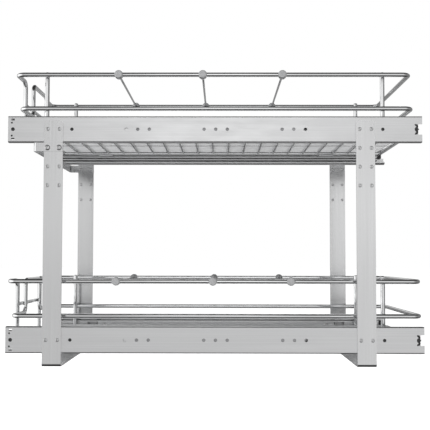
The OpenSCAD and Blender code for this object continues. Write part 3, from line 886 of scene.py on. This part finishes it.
class BASKET_OT_ball_cages(PieceOperator, bpy.types.Operator):
    """Make the ball cages and set the balls in their pockets"""

    bl_idname = "basket.ball_cages"
    bl_label = "Ball cages and balls"

    def make(self):
        for tier in TIERS:
            for row, ball_d in (("outer", slides().outer_ball_d), ("inner", slides().inner_ball_d)):
                body = f"{tier}_{row}_ball_cages"
                for side in SIDES:
                    node = f"{tier}_{side}_{row}_cage"
                    eased_piece(node, body, "cage_steel", slides().sheet_edge)
                self.balls(f"{tier}_{row}_balls", body, ball_d)

    def balls(self, node, body, ball_d):
        low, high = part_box(node)
        reach = Vector((ball_d, ball_d, ball_d)) / 2
        low, high = low + reach, high - reach
        last = slides().balls_per_row - 1
        places = [
            (x, low.y + (high.y - low.y) * i / last, z)
            for x in (low.x, high.x) for z in (low.z, high.z) for i in range(last + 1)
        ]
        piece = grown(node + "_piece", points_mesh(places), "Bearing balls", {
            "Ball diameter": ball_d, "Material": finish("ball_steel"),
        })
        settle(piece, body, "ball_steel", node)


class BASKET_OT_bumpers(PieceOperator, bpy.types.Operator):
    """Make the black rubber stops in the rear ends of the outer members"""

    bl_idname = "basket.bumpers"
    bl_label = "Rear bumpers"

    def make(self):
        eased_piece("slide_rear_bumpers", "frame", "black_rubber", slides().rubber_edge)


class BASKET_OT_screws(PieceOperator, bpy.types.Operator):
    """Drive the tie, slide and tab screws in at their places"""

    bl_idname = "basket.screws"
    bl_label = "Screws"

    def make(self):
        s = screws()
        self.set("cross_tie_screws", "frame", s.tie_head_d, s.tie_head_h, 1)
        self.set("slide_fixing_screws", "frame", s.slide_head_d, s.slide_head_h, 1)
        for tier in TIERS:
            self.set(f"{tier}_mounting_screws", f"{tier}_basket", s.tab_head_d, s.tab_head_h, -1)

    def set(self, node, body, head_d, head_h, outwards):
        """Makes one set of like screws, whose heads look away from the middle or towards it."""
        places, across, length = self.places(node, head_h, outwards)
        template = self.screw(node, head_d, head_h, length)
        piece = grown(node + "_piece", points_mesh(places, across), "Screws", {
            "Screw": template, "Seed": screws().seed, "Material": finish("screw_steel"),
        })
        bpy.data.objects.remove(template)
        settle(piece, body, "screw_steel", node)

    def places(self, node, head_h, outwards):
        """Where the screws' heads sit, which way they look and how long their shanks are."""
        places, across, lengths = [], [], []
        for low, high in islands(frame["nodes"][node].data):
            way = outwards if low.x + high.x > 0 else -outwards
            far = high.x if way > 0 else low.x
            places.append((far - way * head_h, (low.y + high.y) / 2, (low.z + high.z) / 2))
            across.append((way, 0, 0))
            lengths.append(high.x - low.x - head_h)
        return places, across, sum(lengths) / len(lengths)

    def screw(self, node, head_d, head_h, length):
        """One pan-head screw with a cross recess and a threaded shank, head up along Z."""
        s = screws()
        r, shank = head_d / 2, s.shank_d / 2
        core = shank - s.thread_depth
        profile = [(0, -length), (core * TIP_W, -length), (core, s.tip - length)]
        z = s.tip + s.plain - length
        while z < -s.plain - s.thread_pitch:
            crest, root = z + s.thread_pitch * CREST, z + s.thread_pitch * ROOT
            profile += [(core, z), (shank, crest), (core, root)]
            z += s.thread_pitch
        profile += [(core, -s.plain / 2), (core, 0)]
        turns = [math.radians(angle) for angle in DOME_ANGLES]
        dome = [
            (1 - DOME_W + DOME_W * math.cos(a), 1 - DOME_H + DOME_H * math.sin(a)) for a in turns
        ]
        profile += [(r * reach, head_h * rise) for reach, rise in (*RIM, *dome, *CROWN)]
        bm = bmesh.new()
        lathe(bm, profile, SCREW_SIDES)
        body = built(node + "_template", bm)
        cutter = self.recess(node, r, head_h)
        cut = body.modifiers.new("Recess", "BOOLEAN")
        cut.operation, cut.solver, cut.object = "DIFFERENCE", "EXACT", cutter
        applied(body)
        bpy.data.objects.remove(cutter)
        return body

    def recess(self, node, r, head_h):
        """The cross that is cut into a head: its arms narrow towards the bottom."""
        s = screws()
        turns = [Matrix.Rotation(math.pi / 2 * i, 3, "Z") for i in range(4)]
        bm = bmesh.new()
        rings = []
        for (rise, reach), wide in ((RECESS_BOTTOM, s.recess_low_w), (RECESS_TOP, s.recess_w)):
            z, long = head_h * rise, r * reach
            arm = [(long, -wide, z), (long, wide, z), (wide, wide, z)]
            rings.append([bm.verts.new(turn @ Vector(spot)) for turn in turns for spot in arm])
        low, high = rings
        bm.faces.new(low[::-1])
        bm.faces.new(high)
        for i in range(len(low)):
            j = (i + 1) % len(low)
            bm.faces.new((low[i], low[j], high[j], high[i]))
        return built(node + "_cutter", bm)


def islands(mesh):
    """Boxes of the separate solids in a node's mesh, as (lowest, highest) corners."""
    bm = bmesh.new()
    bm.from_mesh(mesh)
    bmesh.ops.remove_doubles(bm, verts=bm.verts, dist=MERGE)
    left, boxes = set(bm.verts), []
    while left:
        reached, front = set(), [next(iter(left))]
        while front:
            vert = front.pop()
            if vert in reached:
                continue
            reached.add(vert)
            front += [e.other_vert(vert) for e in vert.link_edges]
        left -= reached
        axes = [[v.co[i] for v in reached] for i in range(3)]
        boxes.append((Vector(map(min, axes)), Vector(map(max, axes))))
    bm.free()
    return sorted(boxes, key=lambda b: tuple(round(c, 4) for c in b[0]))


class BASKET_OT_rails(PieceOperator, bpy.types.Operator):
    """Bend the top rails with their legs, the second rails with their grips and the front bars"""

    bl_idname = "basket.rails"
    bl_label = "Rails and front bars"

    def make(self):
        w = basket()
        r = w.rail_d / 2
        for tier in TIERS:
            body = f"{tier}_basket"
            low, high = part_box(f"{tier}_top_rail")
            bar_low, bar_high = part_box(f"{tier}_front_bar")
            x, front, rear, z = high.x - r, low.y + r, high.y - r, high.z - r
            leg = bar_high.x + r - w.weld
            wire_piece(f"{tier}_top_rail", body, w.rail_d, [bent_path([
                (leg, front, low.z), (leg, front, z), (x, front, z), (x, rear, z),
                (-x, rear, z), (-x, front, z), (-leg, front, z), (-leg, front, low.z),
            ])])
            low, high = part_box(f"{tier}_second_rail")
            x, front, rear, z, top = high.x - r, low.y + r, high.y - r, low.z + r, high.z - r
            grip = w.grip_x
            wire_piece(f"{tier}_second_rail", body, w.rail_d, [bent_path([
                (grip, front, z), (x, front, z), (x, rear, z), (-x, rear, z),
                (-x, front, z), (-grip, front, z), (-grip, front, top), (grip, front, top),
            ], closed=True)])
            y, z = (bar_low.y + bar_high.y) / 2, (bar_low.z + bar_high.z) / 2
            ends = (bar_low.x, y, z), (bar_high.x, y, z)
            wire_piece(f"{tier}_front_bar", body, w.bar_d, [straight_path(*ends)])


class BASKET_OT_posts_and_floor(PieceOperator, bpy.types.Operator):
    """Make the side posts, the floor frames and the floors of cross wires"""

    bl_idname = "basket.posts_and_floor"
    bl_label = "Posts and floors"

    def make(self):
        w = basket()
        r = w.rail_d / 2
        for tier in TIERS:
            body = f"{tier}_basket"
            low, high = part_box(f"{tier}_side_posts")
            posts = [
                straight_path((x, y, low.z), (x, y, high.z))
                for x in (low.x + r, high.x - r) for y in (low.y + r, high.y - r)
            ]
            wire_piece(f"{tier}_side_posts", body, w.rail_d, posts)
            low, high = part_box(f"{tier}_floor_frame")
            x, front, rear, z = high.x - r, low.y + r, high.y - r, high.z - r
            wire_piece(f"{tier}_floor_frame", body, w.rail_d, [bent_path([
                (x, front, z), (x, rear, z), (-x, rear, z), (-x, front, z),
            ], closed=True)])
            self.floor(f"{tier}_floor_wires", body, x, front, rear, z)

    def floor(self, node, body, x, front, rear, z):
        w = basket()
        count = int((rear - front - w.floor_first - w.floor_last) / w.floor_pitch) + 1
        height = z + w.floor_rise
        under = height - (w.floor_d + w.support_d) / 2 + w.weld
        edge = w.rail_d / 2 - w.weld
        # The path of the support wire is marked closed, which sweeps it into a flat band.
        support = [Vector((0, front + edge, under)), Vector((0, rear - edge, under))]
        piece = grown(node + "_piece", paths_mesh([(support, True)]), "Basket floor", {
            "Wires": count, "Pitch": w.floor_pitch, "Half length": x - w.floor_end,
            "First wire": (0, front + w.floor_first, height), "Wire diameter": w.floor_d,
            "Support diameter": w.support_d, "Sides": w.sides * 2 // 3,
            "Material": finish("chrome_wire"),
        })
        settle(piece, body, "chrome_wire", node)


class BASKET_OT_liners_and_tabs(PieceOperator, bpy.types.Operator):
    """Lay the floor liners in and make the tabs that join the baskets to the slides"""

    bl_idname = "basket.liners_and_tabs"
    bl_label = "Liners and mounting tabs"

    def make(self):
        for tier in TIERS:
            body = f"{tier}_basket"
            eased_piece(f"{tier}_floor_liner", body, "liner_plastic", slides().liner_edge)
            eased_piece(f"{tier}_mounting_tabs", body, "zinc_steel", slides().strip_edge)


class BASKET_OT_weld_beads(PieceOperator, bpy.types.Operator):
    """Put a bead on each weld between the posts, rails, legs and floor frames"""

    bl_idname = "basket.weld_beads"
    bl_label = "Weld beads"

    def make(self):
        w = basket()
        r = w.rail_d / 2
        for tier in TIERS:
            places, across = [], []
            top, top_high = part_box(f"{tier}_top_rail")
            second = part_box(f"{tier}_second_rail")[0]
            floor_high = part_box(f"{tier}_floor_frame")[1]
            post, post_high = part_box(f"{tier}_side_posts")
            bar_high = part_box(f"{tier}_front_bar")[1]
            for side in (-1, 1):
                for y in (post.y + r, post_high.y - r):
                    for z in (top_high.z - r, second.z + r):
                        places.append((side * (post_high.x - w.weld / 2), y, z))
                        across.append((side, 0, 0))
                    places.append((side * (post_high.x - r), y, post.z + w.weld / 2))
                    across.append((0, 0, 1))
                leg_x, leg_y = bar_high.x + r - w.weld, top.y + w.rail_d - w.weld / 2
                for z in (second.z + r, floor_high.z - r):
                    places.append((side * leg_x, leg_y, z))
                    across.append((0, 1, 0))
            piece = grown(f"{tier}_weld_beads", points_mesh(places, across), "Weld beads", {
                "Half width": w.bead_w, "Half thickness": w.bead_t, "Seed": w.seed,
                "Material": finish("chrome_wire"),
            })
            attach(piece, f"{tier}_basket")


class BASKET_OT_dividers(PieceOperator, bpy.types.Operator):
    """Make the divider wires and the clips that hold them on the rails"""

    bl_idname = "basket.dividers"
    bl_label = "Dividers"

    def make(self):
        for tier in TIERS:
            for place in PLACES:
                body = f"{tier}_{place}_divider_body"
                node = f"{tier}_{place}_divider"
                low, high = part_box(node)
                y, z = (low.y + high.y) / 2, (low.z + high.z) / 2
                ends = (low.x, y, z), (high.x, y, z)
                wire_piece(node, body, basket().divider_d, [straight_path(*ends)])
                eased_piece(node + "_clips", body, "grey_plastic", clips().edge, 3)


class BASKET_OT_stage(PieceOperator, bpy.types.Operator):
    """Set up the camera, the pale floor and the soft light"""

    bl_idname = "basket.stage"
    bl_label = "Stage"

    def make(self):
        self.camera()
        self.floor()
        self.light()
        bpy.context.scene.view_settings.view_transform = "Standard"

    def camera(self):
        s = stage()
        cos_p, sin_p = math.cos(s.pitch), math.sin(s.pitch)
        ahead = Vector((-cos_p * math.cos(s.yaw), -cos_p * math.sin(s.yaw), sin_p))
        right = ahead.cross(Vector((0, 0, 1))).normalized()
        up = right.cross(ahead)
        cos_r, sin_r = math.cos(s.roll), math.sin(s.roll)
        axes = (cos_r * right + sin_r * up, cos_r * up - sin_r * right, -ahead)
        data = bpy.data.cameras.new("Camera")
        data.lens, data.sensor_width = s.lens, SENSOR_W
        data.clip_start, data.clip_end = 0.02, 200
        camera = new_object("Camera", data)
        camera.matrix_world = Matrix.Translation(s.camera_at) @ Matrix(axes).transposed().to_4x4()
        bpy.context.scene.camera = camera

    def floor(self):
        s = stage()
        half = s.floor_w / 2
        mesh = bpy.data.meshes.new("floor")
        corners = [(-half, -half), (half, -half), (half, half), (-half, half)]
        mesh.from_pydata([(x, y, -s.floor_drop) for x, y in corners], [], [(0, 1, 2, 3)])
        floor = new_object("floor", mesh)
        floor.visible_glossy = False
        mesh.materials.append(self.floor_finish())

    def floor_finish(self):
        """A pale floor that glows for the camera and for matt surfaces, and keeps its shadow."""
        s = stage()
        material = bpy.data.materials.new("pale_floor")
        material.use_nodes = True
        tree = material.node_tree
        shader, out = tree.nodes["Principled BSDF"], tree.nodes["Material Output"]
        shader.inputs["Base Color"].default_value = (*s.floor_colour, 1)
        shader.inputs["Roughness"].default_value = 1
        shader.inputs["Specular IOR Level"].default_value = 0
        seen = tree.nodes.new("ShaderNodeLightPath").outputs
        fill = product(tree, seen["Is Diffuse Ray"], s.floor_fill)
        glow = add_node(tree, "ShaderNodeMath", {
            0: seen["Is Camera Ray"], 1: s.floor_glow, 2: fill,
        }, operation="MULTIPLY_ADD")[0]
        light = add_node(tree, "ShaderNodeEmission", {"Strength": glow})[0]
        both = add_node(tree, "ShaderNodeAddShader", {0: shader.outputs[0], 1: light})[0]
        feed(tree, out.inputs["Surface"], both)
        return material

    def light(self):
        """A studio of grey levels by direction, white to the camera, and one soft lamp."""
        s = stage()
        world = bpy.data.worlds.new("Soft studio")
        world.use_nodes = True
        bpy.context.scene.world = world
        tree = world.node_tree
        shade, out = tree.nodes["Background"], tree.nodes["World Output"]
        place = tree.nodes.new("ShaderNodeTexCoord").outputs["Generated"]
        way = add_node(tree, "ShaderNodeSeparateXYZ", {0: place})
        along = self.ramp(tree, way["Y"], STUDIO_ALONG)
        height = self.ramp(tree, way["Z"], STUDIO_HEIGHT)
        depth = self.ramp(tree, way["X"], STUDIO_DEPTH)
        box_along = self.ramp(tree, way["Y"], SOFT_BOX_ALONG)
        box_height = self.ramp(tree, way["Z"], SOFT_BOX_HEIGHT)
        studio = product(tree, along, height, depth, s.studio_level)
        soft_box = product(tree, box_along, box_height, depth, s.soft_box_level)
        level = add_node(tree, "ShaderNodeMath", {0: studio, 1: soft_box}, operation="ADD")[0]
        feed(tree, shade.inputs["Color"], level)
        white = add_node(tree, "ShaderNodeBackground", {"Color": (1, 1, 1, 1)})[0]
        seen = tree.nodes.new("ShaderNodeLightPath").outputs["Is Camera Ray"]
        both = add_node(tree, "ShaderNodeMixShader", {0: seen, 1: shade.outputs[0], 2: white})[0]
        feed(tree, out.inputs["Surface"], both)
        self.lamp()

    def lamp(self):
        """One soft lamp, which metal doesn't reflect."""
        s = stage()
        data = bpy.data.lights.new("Soft lamp", "AREA")
        data.shape, data.size, data.energy = "DISK", s.lamp_w, s.lamp_power
        lamp = new_object("Soft lamp", data)
        lamp.visible_glossy = False
        turn = (Vector(s.lamp_aim) - Vector(s.lamp_at)).to_track_quat("-Z", "Y")
        lamp.matrix_world = Matrix.Translation(s.lamp_at) @ turn.to_matrix().to_4x4()

    def ramp(self, tree, direction, stops):
        """Grey levels along one axis of the direction, from -1 to 1."""
        share = add_node(tree, "ShaderNodeMapRange", {"Value": direction, "From Min": -1})["Result"]
        grey = add_node(tree, "ShaderNodeValToRGB", {"Fac": share})["Color"]
        grey.node.color_ramp.interpolation = "EASE"
        points = grey.node.color_ramp.elements
        for point, (place, level) in zip([points[0], points[1]], (stops[0], stops[-1])):
            point.position, point.color = (place + 1) / 2, (level, level, level, 1)
        for place, level in stops[1:-1]:
            points.new((place + 1) / 2).color = (level, level, level, 1)
        return grey


OPERATORS = (
    BASKET_OT_frame_strips,
    BASKET_OT_slide_members,
    BASKET_OT_ball_cages,
    BASKET_OT_bumpers,
    BASKET_OT_screws,
    BASKET_OT_rails,
    BASKET_OT_posts_and_floor,
    BASKET_OT_liners_and_tabs,
    BASKET_OT_weld_beads,
    BASKET_OT_dividers,
    BASKET_OT_stage,
)
SETTINGS = {
    "basket_wires": BasketWireSizes,
    "basket_slides": SlideSizes,
    "basket_screws": ScrewSizes,
    "basket_clips": ClipSizes,
    "basket_colours": FinishColours,
    "basket_stage": StageSettings,
}


class BASKET_PT_sidebar(bpy.types.Panel):
    """Lists the pieces and their sizes"""

    bl_idname = "BASKET_PT_sidebar"
    bl_label = "Cabinet basket"
    bl_space_type = "VIEW_3D"
    bl_region_type = "UI"
    bl_category = "Cabinet basket"

    def draw(self, context):
        for operator in OPERATORS:
            self.layout.operator(operator.bl_idname)
        for name, group in SETTINGS.items():
            box = self.layout.box()
            box.label(text=group.__doc__)
            for field in group.__annotations__:
                box.prop(getattr(context.scene, name), field)


def register():
    for name, group in SETTINGS.items():
        bpy.utils.register_class(group)
        setattr(bpy.types.Scene, name, bpy.props.PointerProperty(type=group))
    for operator in OPERATORS:
        bpy.utils.register_class(operator)
    bpy.utils.register_class(BASKET_PT_sidebar)


def unregister():
    bpy.utils.unregister_class(BASKET_PT_sidebar)
    for operator in reversed(OPERATORS):
        bpy.utils.unregister_class(operator)
    for name, group in SETTINGS.items():
        delattr(bpy.types.Scene, name)
        bpy.utils.unregister_class(group)


def main():
    """Registers the file's classes and runs its operators."""
    register()
    for operator in OPERATORS:
        getattr(bpy.ops.basket, operator.bl_idname.split(".")[1])()


if __name__ == "__main__":
    main()
